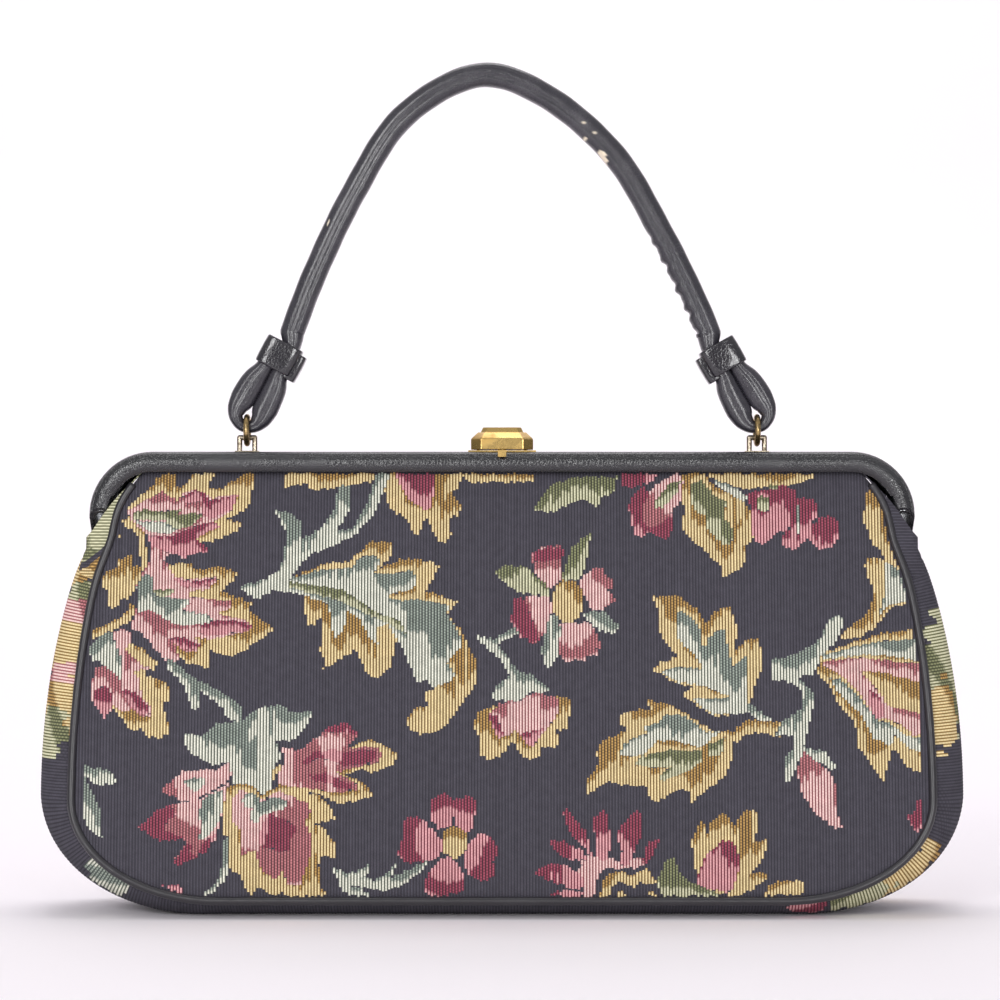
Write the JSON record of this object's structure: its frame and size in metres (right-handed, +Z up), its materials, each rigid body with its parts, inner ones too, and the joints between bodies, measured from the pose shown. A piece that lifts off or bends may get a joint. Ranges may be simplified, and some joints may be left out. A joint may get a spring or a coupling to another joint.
{
  "type": "tapestry top-handle bag",
  "caption": "Frame bag of black floral tapestry with piped seams, a hinged vinyl-covered frame with a gold lever clasp, and an arched rolled strap on rings.",
  "frame": {"origin": "middle of the base on the ground", "axes": "+X to the right seen from the front, +Y to the rear, +Z up; the front faces -Y"},
  "size_m": [0.3124, 0.0602, 0.2899],
  "materials": {
    "frame_steel": "plain bent steel",
    "frame_vinyl": "fine grained, soft sheen",
    "tapestry_ground": "ribbed tapestry ground",
    "piping_vinyl": "shiny",
    "lining_cloth": "plain woven",
    "board": "plain",
    "pale_metal": "worn plating",
    "ring_metal": "aged plating",
    "strap_vinyl": "smooth rolled, scuffed",
    "clasp_gold": "polished plating",
    "gold_yarn": "ribbed yarn",
    "rose_yarn": "ribbed yarn",
    "crimson_yarn": "ribbed yarn",
    "sage_yarn": "ribbed yarn",
    "olive_yarn": "ribbed yarn"
  },
  "bodies": {
    "bag": {"rear_channel": "frame_steel", "rear_cover": "frame_vinyl", "left_rivet": "frame_steel", "right_rivet": "frame_steel", "front_panel": "tapestry_ground", "rear_panel": "tapestry_ground", "gusset": "tapestry_ground", "front_piping": "piping_vinyl", "rear_piping": "piping_vinyl", "lining": "lining_cloth", "base_board": "board", "front_gold_weave": "gold_yarn", "front_rose_weave": "rose_yarn", "front_crimson_weave": "crimson_yarn", "front_sage_weave": "sage_yarn", "front_olive_weave": "olive_yarn", "rear_gold_weave": "gold_yarn", "rear_rose_weave": "rose_yarn", "rear_crimson_weave": "crimson_yarn", "rear_sage_weave": "sage_yarn", "rear_olive_weave": "olive_yarn", "left_staple": "pale_metal", "right_staple": "pale_metal", "clasp_base": "clasp_gold", "clasp_pin": "clasp_gold", "clasp_spring": "frame_steel"},
    "front_frame": {"front_channel": "frame_steel", "front_cover": "frame_vinyl", "clasp_catch": "clasp_gold"},
    "lever": {"clasp_lever": "clasp_gold"},
    "left_ring": {"left_ring": "ring_metal"},
    "right_ring": {"right_ring": "ring_metal"},
    "handle": {"handle_strap": "strap_vinyl", "left_keeper": "piping_vinyl", "right_keeper": "piping_vinyl"}
  },
  "joints": [
    {"name": "frame_hinge", "type": "hinge", "parent": "bag", "child": "front_frame", "pos_m": [0, 0, 0.125], "axis": [1, 0, 0], "range_deg": [0, 45]},
    {"name": "clasp_lift", "type": "hinge", "parent": "bag", "child": "lever", "pos_m": [0, 0.0094, 0.1586], "axis": [-1, 0, 0], "range_deg": [0, 55], "stiffness_Nm_per_rad": 0.01},
    {"name": "left_ring_swing", "type": "hinge", "parent": "bag", "child": "left_ring", "pos_m": [-0.0875, 0.0045, 0.161], "axis": [1, 0, 0], "range_deg": [-50, 50]},
    {"name": "right_ring_swing", "type": "hinge", "parent": "bag", "child": "right_ring", "pos_m": [0.0875, 0.0045, 0.161], "axis": [1, 0, 0], "range_deg": [-50, 50]},
    {"name": "handle_swing", "type": "hinge", "parent": "left_ring", "child": "handle", "pos_m": [-0.0875, 0.0045, 0.16355], "axis": [1, 0, 0], "range_deg": [-45, 45]}
  ],
  "couplings": [
    {"joint": "right_ring_swing", "follows": "left_ring_swing", "ratio": 1}
  ]
}
